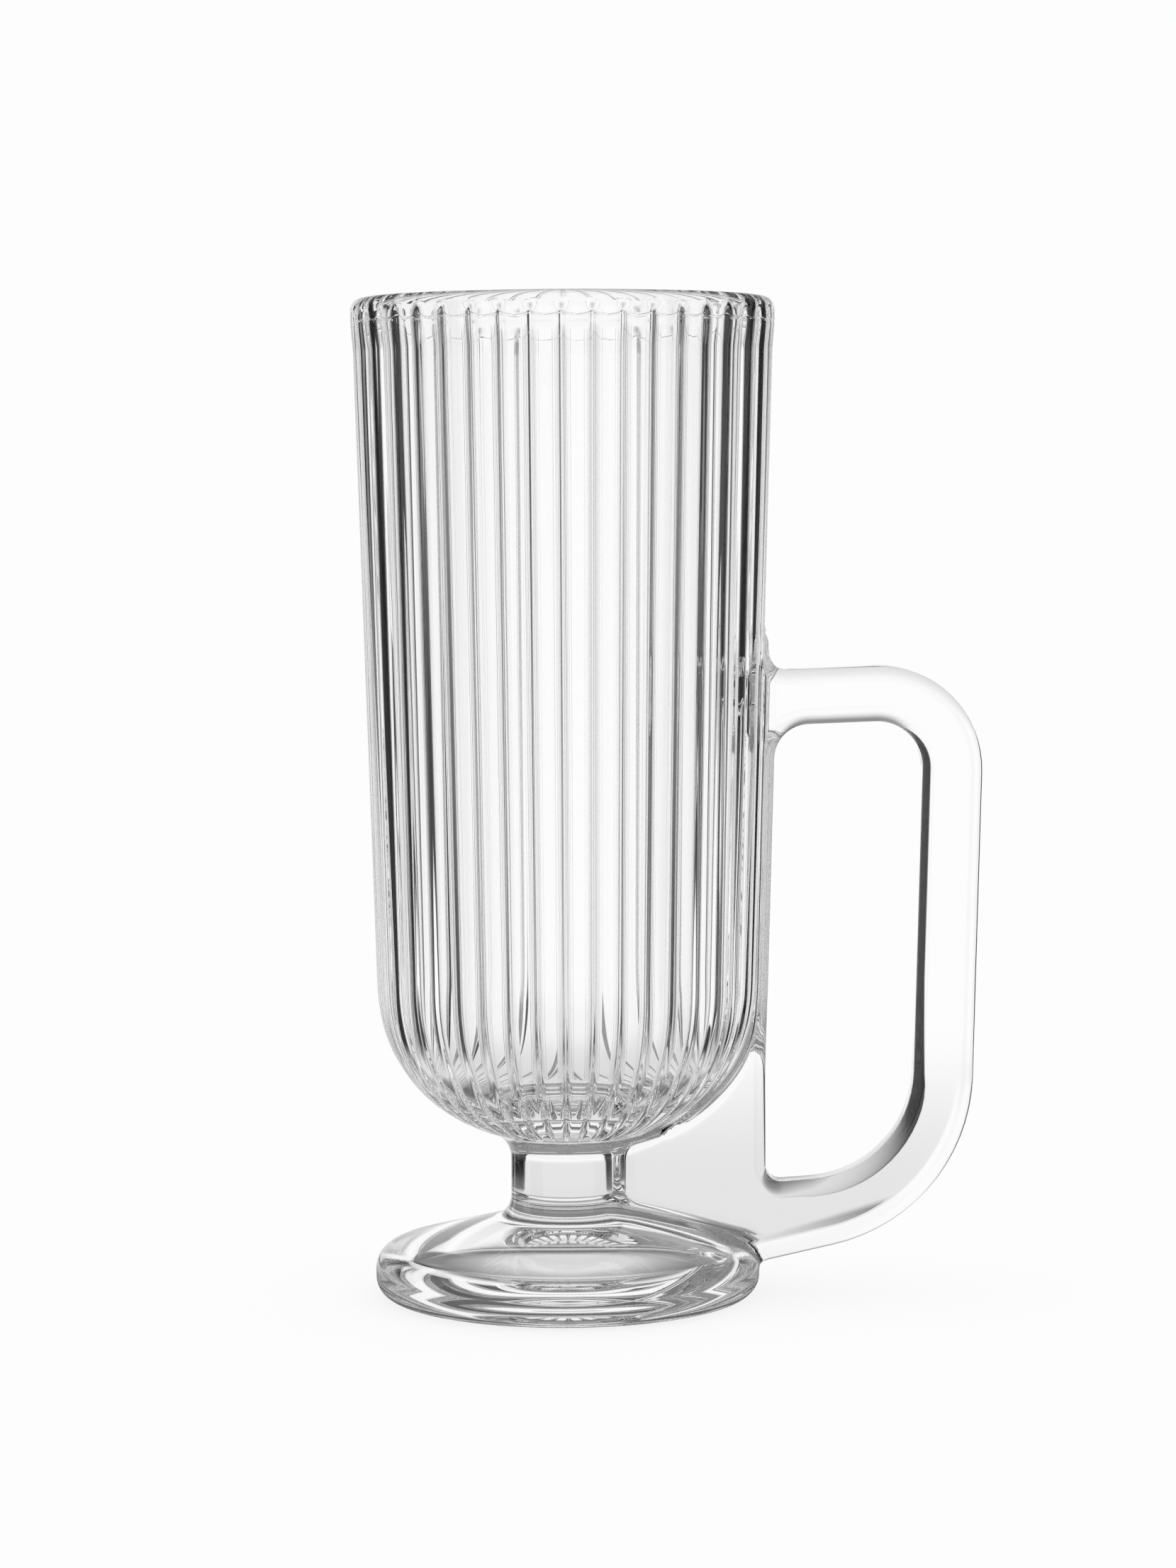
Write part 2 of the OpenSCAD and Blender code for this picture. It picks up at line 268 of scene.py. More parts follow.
class Curve:
    """A smooth plane curve as fine samples: place, turn of the outward normal, curvature and length along it.

    The outside lies to the right of the way the curve runs. rows holds the lengths where a mesh gets a row.
    """

    def __init__(self):
        self.p, self.a, self.k, self.spans = [], [], [], []

    def add(self, points, angles, bends, step):
        start = sum(len(p) for p in self.p)
        self.p.append(np.asarray(points, float))
        self.a.append(np.unwrap(np.asarray(angles, float)))
        self.k.append(np.broadcast_to(np.asarray(bends, float), len(points)).copy())
        self.spans.append((start, start + len(points) - 1, step))

    def line(self, a, b, step=PLAIN_STEP):
        a, b = np.asarray(a, float), np.asarray(b, float)
        n = max(LEAST_LINE_STEPS, int(np.linalg.norm(b - a) / FINE))
        t = np.linspace(0, 1, n + 1)[:, None]
        d = unit(b - a)
        self.add(a + (b - a) * t, np.full(n + 1, math.atan2(-d[0], d[1])), 0.0, step)

    def arc(self, c, r, a0, a1, step=PLAIN_STEP):
        n = max(LEAST_ARC_STEPS, int(abs(a1 - a0) * r / FINE))
        a = np.linspace(a0, a1, n + 1)
        way = 1 if a1 > a0 else -1
        points = np.asarray(c, float) + r * np.c_[np.cos(a), np.sin(a)]
        self.add(points, a if way > 0 else a + math.pi, way / r, min(step, TURN * r))

    def free(self, points, step=PLAIN_STEP):
        """A curve given by close points: its normal and bend are measured on them."""
        points = np.asarray(points, float)
        d = np.gradient(points, axis=0)
        angles = np.unwrap(np.arctan2(-d[:, 0], d[:, 1]))
        length = np.r_[0, np.cumsum(np.linalg.norm(np.diff(points, axis=0), axis=1))]
        self.add(points, angles, np.gradient(angles, length), step)

    def corners(self, spots, step=PLAIN_STEP):
        """Straight runs through spots of (x, y, radius), each inner spot rounded by its radius."""
        spots = [np.asarray(s, float) for s in spots]
        start = spots[0][:2]
        for before, here, after in zip(spots, spots[1:], spots[2:]):
            mid, r = here[:2], here[2]
            u, v = unit(before[:2] - mid), unit(after[:2] - mid)
            half = math.acos(float(u @ v)) / 2
            centre = mid + unit(u + v) * r / math.sin(half)
            s, e = mid + u * r / math.tan(half), mid + v * r / math.tan(half)
            a0 = math.atan2(*(s - centre)[::-1])
            a1 = math.atan2(*(e - centre)[::-1])
            turn = (a1 - a0 + math.pi) % (2 * math.pi) - math.pi
            self.line(start, s, step)
            self.arc(centre, r, a0, a0 + turn, step)
            start = e
        self.line(start, spots[-1][:2], step)

    def close(self):
        """Joins the samples, and works out the length along them and the mesh's rows."""
        p, a, k = np.concatenate(self.p), list(self.a), np.concatenate(self.k)
        for i in range(1, len(a)):
            a[i] = a[i] + round((a[i - 1][-1] - a[i][0]) / (2 * math.pi)) * 2 * math.pi
        a = np.concatenate(a)
        self.s_of = np.r_[0, np.cumsum(np.linalg.norm(np.diff(p, axis=0), axis=1))]
        self.marks = [self.s_of[first] for first, _, _ in self.spans] + [self.s_of[-1]]
        rows = []
        for first, last, step in self.spans:
            s0, s1 = self.s_of[first], self.s_of[last]
            n = max(1, math.ceil((s1 - s0) / step))
            rows.extend(np.linspace(s0, s1, n + 1)[:-1])
        rows.append(self.s_of[-1])
        self.rows = np.array(rows)
        keep = np.r_[True, np.diff(self.s_of) > TINY]
        self.p, self.a, self.k, self.s = p[keep], a[keep], k[keep], self.s_of[keep]
        return self

    def at(self, s):
        """Place, normal's angle and bend at a length along the curve."""
        return (
            np.interp(s, self.s, self.p[:, 0]),
            np.interp(s, self.s, self.p[:, 1]),
            np.interp(s, self.s, self.a),
            np.interp(s, self.s, self.k),
        )

    def where(self, z, rising=True):
        """Length at which the curve first passes a height, on its rising or falling side."""
        h = self.p[:, 1] - z
        flips = np.nonzero((h[:-1] < 0) & (h[1:] >= 0) if rising else (h[:-1] > 0) & (h[1:] <= 0))[0]
        i = flips[0] if rising else flips[-1]
        t = h[i] / (h[i] - h[i + 1])
        return self.s[i] + t * (self.s[i + 1] - self.s[i])

    def snap_row(self, s):
        """Moves the nearest row to a length, so that a piece can end there."""
        self.rows[np.argmin(np.abs(self.rows - s))] = s

    def tree(self):
        kd = KDTree(len(self.p))
        for i, (x, y) in enumerate(self.p):
            kd.insert((x, y, 0), i)
        kd.balance()
        return kd

    def distance(self, kd, x, y):
        """Signed distance outward from the curve, its gradient, and the length along at the nearest place."""
        near = np.array([kd.find((u, v, 0))[1] for u, v in zip(x, y)])
        n = np.c_[np.cos(self.a[near]), np.sin(self.a[near])]
        t = np.c_[-n[:, 1], n[:, 0]]
        q = np.c_[x, y] - self.p[near]
        along, out, k = (q * t).sum(1), (q * n).sum(1), self.k[near]
        stretch = 1 + k * out
        d = out + k * along**2 / (2 * stretch)
        g = n * stretch[:, None] + t * (k * along)[:, None]
        g /= np.linalg.norm(g, axis=1)[:, None]
        return d, g, self.s[near] + along / stretch


def bottom_point(a):
    """Outside of the rounded bottom over the crests, from the axis (0) to the shoulder (a quarter turn)."""
    z = SHOULDER_Z - BOTTOM_DEPTH * np.cos(a) ** (2 / BOTTOM_POWER)
    return np.stack([crest_r(z) * np.sin(a) ** (2 / BOTTOM_POWER), z], -1)


def floor_point(a):
    """Inside of the rounded bottom, from the axis to the inner shoulder."""
    z = SHOULDER_Z - FLOOR_DEPTH * np.cos(a) ** (2 / FLOOR_POWER)
    return np.stack([inner_r(z) * np.sin(a) ** (2 / FLOOR_POWER), z], -1)


def even(point, a0, a1):
    """Evenly spaced close points along a curve given by an angle."""
    a = np.linspace(a0, a1, CURVE_SAMPLES)
    p = point(a)
    s = np.r_[0, np.cumsum(np.linalg.norm(np.diff(p, axis=0), axis=1))]
    return point(np.interp(np.linspace(0, s[-1], int(s[-1] / FINE)), s, a))


def stem_touch():
    """Angle where the rounded bottom meets the stem's upper fillet, the fillet's centre and last angle."""
    low, high = FIRST_TURN, math.pi / 2 - FIRST_TURN
    for _ in range(HALVINGS):
        mid = (low + high) / 2
        d = bottom_point(mid + TURN_NUDGE) - bottom_point(mid - TURN_NUDGE)
        n = unit(np.array([d[1], -d[0]]))
        centre = bottom_point(mid) + STEM_TOP_FILLET * n
        if centre[0] < STEM_R + STEM_TOP_FILLET:
            low = mid
        else:
            high = mid
    return mid, centre, math.atan2(-n[1], -n[0])


def mug_outside():
    """Section of the outside over the crests: under the foot, up the stem and bowl, to the top of the lip."""
    edge_z = FOOT_APEX_Z - FOOT_R * math.tan(FOOT_FALL)
    neck_z = FOOT_APEX_Z - STEM_R * math.tan(FOOT_FALL)
    angle, centre, end = stem_touch()
    dome_r = (RING_IN_R**2 + HOLLOW_DEPTH**2) / (2 * HOLLOW_DEPTH)
    dome_a = math.asin(RING_IN_R / dome_r) - RING_EDGE / RING_IN_R
    dome_end = dome_r * np.array([math.sin(dome_a), math.cos(dome_a)]) - (0, dome_r - HOLLOW_DEPTH)
    c = Curve()
    c.arc((0, HOLLOW_DEPTH - dome_r), dome_r, math.pi / 2, math.pi / 2 - dome_a)
    c.corners([
        dome_end,
        (dome_end[0] + dome_end[1] / math.tan(dome_a), 0, RING_CORNER_R),
        (FOOT_R, 0, FOOT_LOW_EDGE),
        (FOOT_R, edge_z, FOOT_TOP_EDGE),
        (STEM_R, neck_z, STEM_FOOT_FILLET),
        (STEM_R, centre[1]),
    ], PLAIN_STEP)
    c.arc(centre, STEM_TOP_FILLET, math.pi, end % (2 * math.pi))
    c.free(even(bottom_point, angle, math.pi / 2))
    flare_low, flare_high = ARM_TOP_Z - ARM_W, ARM_TOP_Z + 2 * FLARE_R + FILLET_REACH
    swell = BAND_Z - BAND_SWELL
    c.line((SHOULDER_R, SHOULDER_Z), (crest_r(flare_low), flare_low), WALL_STEP)
    c.line((crest_r(flare_low), flare_low), (crest_r(flare_high), flare_high), FILLET_STEP)
    below = swell - SEAM_ROWS_Z
    c.line((crest_r(flare_high), flare_high), (crest_r(below), below), WALL_STEP)
    lip_mid_z = CUP_H - LIP_WALL / 2
    start, end = np.array([crest_r(swell), swell]), np.array([LIP_R, BAND_Z])
    seam = end + (start - end) * SEAM_ROWS_Z / BAND_SWELL
    c.corners([(crest_r(below), below), (*start, BAND_SWELL_R), seam], PLAIN_STEP)
    c.corners([seam, (*end, BAND_SWELL_R), (LIP_R, lip_mid_z)], SEAM_WIDTH)
    c.arc((LIP_R - LIP_WALL / 2, lip_mid_z), LIP_WALL / 2, 0, math.pi / 2, LIP_STEP)
    return c.close()


def mug_inside():
    """Section of the inside, from the top of the lip down the wall to the middle of the floor."""
    lip_mid_z = CUP_H - LIP_WALL / 2
    tilt = math.atan((inner_r(lip_mid_z) - inner_r(SHOULDER_Z)) / (lip_mid_z - SHOULDER_Z))
    centre = np.array([LIP_R - LIP_WALL / 2, lip_mid_z])
    end = centre + LIP_WALL / 2 * np.array([-math.cos(tilt), math.sin(-tilt)])
    c = Curve()
    c.arc(centre, LIP_WALL / 2, math.pi / 2, math.pi + tilt, LIP_STEP)
    floor = even(floor_point, math.pi / 2, 0)
    c.line(end, floor[0], WALL_STEP)
    c.free(floor, PLAIN_STEP)
    return c.close()


def smooth(t):
    """Rises from 0 to 1 with soft ends while t goes from 0 to 1."""
    t = np.clip(t, 0, 1)
    return t * t * (3 - 2 * t)


def soft_step(x, width):
    """Goes from 0 to 1 over a width with its middle at x = 0."""
    return smooth(x / width + 0.5)


class Ribs:
    """Depth of the grooves between the ribs, as a height below the crests, with its slopes."""

    def __init__(self, curve):
        self.half = math.pi / RIBS
        self.full = RIB_DEPTH / SHOULDER_R
        self.valley = VALLEY_R / SHOULDER_R
        r, z = curve.p[:, 0], curve.p[:, 1]
        bowl = z > STEM_TOP_Z
        low = smooth((r - RIB_START_R) / (RIB_FULL_R - RIB_START_R)) * bowl
        high = 1 - smooth((z - RIB_FADE_Z) / (RIB_END_Z - RIB_FADE_Z))
        self.s = curve.s
        self.size = r * np.where(z > SHOULDER_Z, high, low)
        self.size_slope = np.gradient(self.size, self.s)
        self.seam_s = curve.where(BAND_Z + SEAM_OVER)

    def groove(self, phi):
        """Groove's depth over the radius and the seam's rise, at an angle round the mug, and their slopes."""
        v = (phi + self.half) % (2 * self.half) - self.half
        soft = np.hypot(v, self.valley)
        scale = 1 / math.hypot(self.half, self.valley)
        x = np.maximum(1 - soft * scale, 0)
        x_slope = -scale * v / soft
        depth = self.full * x**RIB_POWER
        depth_slope = self.full * RIB_POWER * x ** (RIB_POWER - 1) * x_slope
        lift = SEAM_RISE * x**SEAM_POWER
        lift_slope = SEAM_RISE * SEAM_POWER * x ** (SEAM_POWER - 1) * x_slope
        return depth, depth_slope, lift, lift_slope

    def depth(self, s, phi):
        """Depth below the crests, and its slopes along the section and per radian."""
        size = np.interp(s, self.s, self.size)
        size_slope = np.interp(s, self.s, self.size_slope)
        g, g_slope, lift, lift_slope = self.groove(phi)
        t = (s - self.seam_s - lift) / SEAM_WIDTH
        crease = SEAM_DEPTH * np.exp(-t * t)
        crease_slope = -2 * t / SEAM_WIDTH * crease
        return size * g + crease, size_slope * g + crease_slope, size * g_slope - crease_slope * lift_slope


class Mug:
    """The turned and ribbed glass without its handle."""

    def __init__(self):
        self.out, self.inside = mug_outside(), mug_inside()
        self.ribs = Ribs(self.out)
        self.out_tree, self.in_tree = self.out.tree(), self.inside.tree()

    def surface(self, rows, phis):
        """Points of the outside on a grid of lengths along the section and angles."""
        s, phi = np.meshgrid(rows, phis, indexing="ij")
        r, z, a, _ = self.out.at(s)
        h = self.ribs.depth(s, phi)[0]
        rho = r - h * np.cos(a)
        return np.stack([rho * np.cos(phi), rho * np.sin(phi), z - h * np.sin(a)], -1)

    def lining(self, rows, phis):
        """Points of the inside on the same kind of grid."""
        s, phi = np.meshgrid(rows, phis, indexing="ij")
        r, z, _, _ = self.inside.at(s)
        return np.stack([r * np.cos(phi), r * np.sin(phi), z], -1)

    def field(self, p):
        """Distance outside the ribbed surface, near it, and its direction of steepest rise."""
        rho = np.hypot(p[:, 0], p[:, 1])
        phi = np.arctan2(p[:, 1], p[:, 0])
        d, g, s = self.out.distance(self.out_tree, rho, p[:, 2])
        h, hs, hp = self.ribs.depth(s, phi)
        t = np.c_[-g[:, 1], g[:, 0]]
        g = g + t * hs[:, None]
        around = hp / np.maximum(rho, FINE)
        cos, sin = np.cos(phi), np.sin(phi)
        rise = np.c_[g[:, 0] * cos - around * sin, g[:, 0] * sin + around * cos, g[:, 1]]
        return d + h, rise

    def lining_field(self, p):
        """The same for the smooth inside."""
        rho = np.hypot(p[:, 0], p[:, 1])
        d, g, _ = self.inside.distance(self.in_tree, rho, p[:, 2])
        cos, sin = p[:, 0] / np.maximum(rho, FINE), p[:, 1] / np.maximum(rho, FINE)
        return d, np.c_[g[:, 0] * cos, g[:, 0] * sin, g[:, 1]]


def meet(line, other):
    """Where two lines cross, each a point and a direction's angle."""
    (p, a), (q, b) = line, other
    d = ((q[0] - p[0]) * math.sin(b) - (q[1] - p[1]) * math.cos(b)) / math.sin(b - a)
    return np.array([p[0] + d * math.cos(a), p[1] + d * math.sin(a)])


def on_line(line, z):
    """Place on a line at a height."""
    (x, y), a = line
    return np.array([x + (z - y) / math.tan(a), z])


class Plate:
    """The handle, web and spine: one rounded plate between an outline and the finger gap."""

    def __init__(self):
        wall = math.pi / 2 - math.atan(crest_r(1) - crest_r(0))
        web_x = SHOULDER_R + WEB_EDGE_OUT
        arm_top = ((ARM_REF_X, ARM_TOP_Z), ARM_RISE)
        arm_low = ((ARM_REF_X, ARM_TOP_Z - ARM_W), ARM_RISE)
        grip_out = ((GRIP_OUT_X, GRIP_REF_Z), math.pi / 2 - GRIP_LEAN)
        grip_in = ((GRIP_OUT_X - GRIP_W, GRIP_REF_Z), math.pi / 2 - GRIP_LEAN)
        heel = ((FOOT_R + HEEL_OUT, HEEL_Z), HEEL_RISE)
        floor = ((web_x + GAP_LOW_R, GAP_FLOOR_Z), GAP_FLOOR_RISE)
        web_edge = ((web_x, GAP_FLOOR_Z), math.pi / 2)
        spine_edge = ((SHOULDER_R + SPINE_PROUD, SHOULDER_Z), wall)
        wall_line = ((SHOULDER_R - FLARE_BITE, SHOULDER_Z), wall)

        a, b = meet(web_edge, floor), meet(floor, grip_in)
        c, d, e = meet(grip_in, arm_low), meet(arm_low, spine_edge), meet(spine_edge, web_edge)
        start = (a + e) / 2
        self.gap = Curve()
        self.gap.corners([
            start, (*e, KNEE_R), (*d, GAP_TOP_R), (*c, TOP_IN_R), (*b, LOW_IN_R), (*a, GAP_LOW_R), start,
        ], TURN_STEP)
        self.gap.close()

        out_b, out_c, out_d = meet(heel, grip_out), meet(grip_out, arm_top), meet(arm_top, wall_line)
        tip = on_line(wall_line, out_d[1] + FLARE_R + 2 * FLARE_TIP_R)
        under = FOOT_R - FOOT_LOW_EDGE
        under_z = HEEL_Z + (under - FOOT_R - HEEL_OUT) * math.tan(HEEL_RISE)
        self.out = Curve()
        self.out.corners([
            (CORE_R, DEEP_Z), (DEEP_R, DEEP_Z, GAP_LOW_R), (under, under_z, GAP_LOW_R),
            (*out_b, LOW_OUT_R), (*out_c, TOP_OUT_R), (*out_d, FLARE_R),
            (*tip, FLARE_TIP_R), tip - (FLARE_R, 0),
        ], TURN_STEP)
        self.out.close()
        self.gap_tree, self.out_tree = self.gap.tree(), self.out.tree()
        self.tip_z = tip[1]

    def stations(self):
        """Matching points on the gap's side and the other side, clockwise round the gap, with a tag each."""
        # A mark is where a straight run or an arc begins. The gap's arcs begin at 1 (knee), 3 (top corner),
        # 5 (upper bend), 7 (lower bend) and 9 (web's corner), and 11 is its length. The outline's arcs begin
        # at 1 and 3 (inside the foot), 5 (lower bend), 7 (upper bend), 9 (flare) and 11 (its tip).
        g, o = self.gap.marks, self.out.marks
        arm_x, web_x = self.gap.at(g[4])[0], self.gap.at(g[9])[0]
        arm_s = o[8] + (self.out.at(o[8])[0] - arm_x) / math.cos(ARM_RISE)
        web_s = o[4] + (web_x - self.out.at(o[4])[0]) / math.cos(HEEL_RISE)
        split = self.gap.where(SPINE_LOW_Z)
        knee = (g[1] + g[2]) / 2
        corner = np.linspace(g[9], g[10], CORNER_STATIONS)
        top = np.linspace(g[3], g[4], TOP_STATIONS)
        flare = np.linspace(o[10], o[9], FLARE_STATIONS)
        top_z = self.gap.at(g[3])[1]
        web = list(zip([*corner, knee + g[11], split + g[11]], [
            web_s, o[3], (DEEP_R, DEEP_Z), (CORE_R, DEEP_Z), (CORE_R, CORE_LOW_Z), (CORE_R, CORE_TOP_Z),
            (CORE_FLARE_R, CORE_RISE_Z), (STEM_R, CORE_RISE_Z + WEB_RISE), (BURIED_R, SPINE_LOW_Z),
        ]))
        spine = list(zip([split, *top], [
            (BURIED_R, SPINE_LOW_Z), (BURIED_R, top_z), (BURIED_R, (top_z + ARM_TOP_Z) / 2),
            (BURIED_R, ARM_TOP_Z), (BURIED_R, self.tip_z), o[12], o[11], *flare, (o[9] + arm_s) / 2,
        ]))
        handle = list(zip([g[4], g[5], g[6], g[7], g[8], g[9]], [arm_s, o[8], o[7], o[6], o[5], web_s]))
        near, far, tags = [], [], []
        for tag, keys in ((WEB, web), (SPINE, spine), (HANDLE, handle)):
            for (s0, f0), (s1, f1) in zip(keys, keys[1:]):
                p0, p1 = self.far_point(f0), self.far_point(f1)
                span = max(abs(s1 - s0), np.linalg.norm(p1 - p0))
                turn = abs(self.gap.at(s1 % g[11])[2] - self.gap.at(s0 % g[11])[2])
                fine = span / (PLAIN_STEP if tag != HANDLE else WALL_STEP)
                n = max(1, math.ceil(fine), math.ceil((turn % math.pi) / TURN))
                for i in range(n):
                    t = i / n
                    near.append(self.gap.at((s0 + (s1 - s0) * t) % g[11])[:2])
                    if np.isscalar(f0) and np.isscalar(f1):
                        far.append(self.out.at(f0 + (f1 - f0) * t)[:2])
                    else:
                        far.append(p0 + (p1 - p0) * t)
                    tags.append(tag)
        return np.array(near), np.array(far), tags

    def far_point(self, place):
        """A place given as a length along the outline, or as a point."""
        return np.array(self.out.at(place)[:2]) if np.isscalar(place) else np.array(place, float)

    def loft(self):
        """Points on a closed grid of stations by places round a section, and a tag for each station."""
        near, far, tags = self.stations()
        w = np.linalg.norm(far - near, axis=1)[:, None]
        e = (far - near) / w
        half, y = PLATE_T / 2, PLATE_T / 2 - EDGE_R
        q = np.linspace(0, math.pi / 2, EDGE_STEPS + 1)
        flat = np.linspace(0, 1, SIDE_STEPS + 1)[1:-1]
        sin, cos = EDGE_R * np.sin(q), EDGE_R * np.cos(q)
        # A spot of the section: its way from the near side (share 0) or far side (share 1), its share, its y
        spots = []
        for side, u, v in ((1, sin, cos), (-1, cos, sin)):
            spots.extend((EDGE_R - along, 0.0, side * (y + across)) for along, across in zip(u, v))
        spots.extend((EDGE_R, share, -half) for share in flat)
        for side, u, v in ((-1, sin, cos), (1, cos, sin)):
            spots.extend((along - EDGE_R, 1.0, side * (y + across)) for along, across in zip(u, v))
        spots.extend((EDGE_R, 1 - share, half) for share in flat)
        points = []
        for inward, share, across in spots:
            if share in (0.0, 1.0):
                out = inward + share * w
            else:
                out = EDGE_R + (w - 2 * EDGE_R) * share
            at = near + e * out
            points.append(np.c_[at[:, 0], np.full(len(at), across), at[:, 1]])
        return np.stack(points, 1), tags

    def field(self, p):
        """Distance outside the plate and its direction of steepest rise."""
        d1, g1, _ = self.out.distance(self.out_tree, p[:, 0], p[:, 2])
        d2, g2, _ = self.gap.distance(self.gap_tree, p[:, 0], p[:, 2])
        gap = d2 > d1
        e = np.where(gap, d2, d1)
        g = np.where(gap[:, None], g2, g1)
        q1, q2 = e + EDGE_R, np.abs(p[:, 1]) - PLATE_T / 2 + EDGE_R
        both = (q1 > 0) & (q2 > 0)
        c1, c2 = np.where(both, q1, 1), np.where(both, q2, 1)
        corner = (c1**EDGE_POWER + c2**EDGE_POWER) ** (1 / EDGE_POWER)
        length = np.where(both, corner, np.maximum(q1, q2))
        n1 = np.where(both, (c1 / corner) ** (EDGE_POWER - 1), q1 > q2)
        n2 = np.where(both, (c2 / corner) ** (EDGE_POWER - 1), q1 <= q2)
        return length - EDGE_R, np.c_[g[:, 0] * n1, n2 * np.sign(p[:, 1]), g[:, 1] * n1]


def settle(p, field):
    """Moves points onto a field's surface."""
    for _ in range(SETTLE_STEPS):
        f, g = field(p)
        p = p - g * (f / np.maximum((g * g).sum(1), FINE))[:, None]
    return p


def mesh_of(points, faces, tags):
    mesh = bpy.data.meshes.new("draft")
    mesh.from_pydata(points.tolist(), [], faces)
    mesh.polygons.foreach_set("material_index", tags)
    return mesh


def arrays(mesh):
    """Points, faces and tags of a mesh."""
    points = np.empty(len(mesh.vertices) * 3)
    mesh.vertices.foreach_get("co", points)
    tags = np.empty(len(mesh.polygons), int)
    mesh.polygons.foreach_get("material_index", tags)
    faces = [list(f.vertices) for f in mesh.polygons]
    return points.reshape(-1, 3), faces, tags


def welded(points, faces, tags):
    """The same faces with points that lie in one place made one."""
    mesh = mesh_of(points, faces, tags)
    bm = bmesh.new()
    bm.from_mesh(mesh)
    bmesh.ops.remove_doubles(bm, verts=bm.verts, dist=WELD)
    bm.to_mesh(mesh)
    bm.free()
    result = arrays(mesh)
    bpy.data.meshes.remove(mesh)
    return result


def solid(name, points, faces, tags):
    """A welded object for a boolean, facing outward, with one empty material slot per tag."""
    points, faces, tags = welded(points, faces, tags)
    ob = bpy.data.objects.new(name, mesh_of(points, faces, tags))
    for tag in range(TAGS):
        ob.data.materials.append(bpy.data.materials.get(f"tag{tag}") or bpy.data.materials.new(f"tag{tag}"))
    bm = bmesh.new()
    bm.from_mesh(ob.data)
    if bm.calc_volume(signed=True) < 0:
        bmesh.ops.reverse_faces(bm, faces=bm.faces)
        bm.to_mesh(ob.data)
    bm.free()
    bpy.context.scene.collection.objects.link(ob)
    return ob


def boolean(a, b, operation):
    """Points, faces and tags of the union or intersection of two objects."""
    modifier = a.modifiers.new("join", "BOOLEAN")
    modifier.operation = operation
    modifier.solver = "MANIFOLD"
    modifier.object = b
    found = a.evaluated_get(bpy.context.evaluated_depsgraph_get())
    mesh = bpy.data.meshes.new_from_object(found)
    a.modifiers.remove(modifier)
    return arrays(mesh)


def grid_faces(rows, columns, strip_tags):
    """Quads of a grid whose rows close on themselves, and a tag for each, from the tag of its strip.

    A strip lies between a row and the next. With as many tags as rows, the last strip ends at the first row.
    """
    faces, tags = [], []
    for i, tag in enumerate(strip_tags):
        here, there = i * columns, (i + 1) % rows * columns
        for j in range(columns):
            k = (j + 1) % columns
            faces.append([here + j, here + k, there + k, there + j])
            tags.append(tag)
    return faces, tags


def column_angles():
    """Angles of the mesh's columns: close in the valleys, wide on the crests."""
    half = math.pi / RIBS
    up = np.array(VALLEY_SHARES) * half
    rib = np.r_[up, half, 2 * half - up[:0:-1]]
    return np.concatenate([rib + 2 * half * i for i in range(RIBS)])


def tags_between(heights):
    """Piece of each strip between two neighbouring heights of the outside."""
    middles = (heights[:-1] + heights[1:]) / 2
    return [(FOOT, STEM, BOWL, RIM)[i] for i in np.digitize(middles, (STEM_LOW_Z, STEM_TOP_Z, BAND_Z))]


def blend_reach(p):
    """Reach of the fillet between plate and mug: less at the heel, next to none under the foot."""
    heel = smooth((p[:, 0] - HEEL_FROM_X) / HEEL_SPAN) * (p[:, 2] < HEEL_BELOW_Z)
    under = (np.hypot(p[:, 0], p[:, 1]) < RING_IN_R) & (p[:, 2] < HOLLOW_DEPTH + RING_EDGE)
    return np.where(under, FINE, FILLET_REACH + (HEEL_FILLET_REACH - FILLET_REACH) * heel)


def joined_field(mug, plate):
    """Field of the mug and the plate with a fillet between them."""
    def field(p):
        a, ga = mug.field(p)
        b, gb = plate.field(p)
        b = np.where(p[:, 0] < 0, FAR, b)
        k = blend_reach(p)
        over = np.maximum(k - np.abs(a - b), 0)
        share = over / (2 * k)
        first = a < b
        w = np.where(first, 1 - share, share)[:, None]
        return np.minimum(a, b) - over**2 / (4 * k), ga * w + gb * (1 - w)
    return field


class Heap:
    """Points, faces and tags gathered from several meshes."""

    def __init__(self):
        self.points, self.faces, self.tags = np.empty((0, 3)), [], []

    def add(self, points, faces, tags):
        self.faces.extend([v + len(self.points) for v in face] for face in faces)
        self.tags.extend(int(tag) for tag in tags)
        self.points = np.r_[self.points, points]

    def add_grid(self, grid, strip_tags):
        """A grid of points, as rows by columns by 3, with its quads."""
        self.add(grid.reshape(-1, 3), *grid_faces(*grid.shape[:2], strip_tags))


def draft_mug(mug, rows, strip_tags, top_z, phis):
    """The lower part of the outside, closed by a cap, as a solid for the booleans."""
    heap = Heap()
    heap.add_grid(mug.surface(rows, phis), strip_tags)
    middle = len(heap.points)
    edge = range(middle - len(phis), middle)
    cap = [[v, after, middle] for v, after in zip(edge, [*edge[1:], edge[0]])]
    points = np.r_[heap.points, [[0, 0, top_z]]]
    return solid("mug_draft", points, heap.faces + cap, heap.tags + [CAP] * len(cap))


def draft_plate(mug, plate):
    """The plate as a solid for the booleans, with its seen points moved onto its rounded surface."""
    grid, station_tags = plate.loft()
    points = grid.reshape(-1, 3)
    seen = mug.field(points)[0] > -SEEN_DEPTH
    points[seen] = settle(points[seen], plate.field)
    return solid("plate_draft", points, *grid_faces(*grid.shape[:2], station_tags))


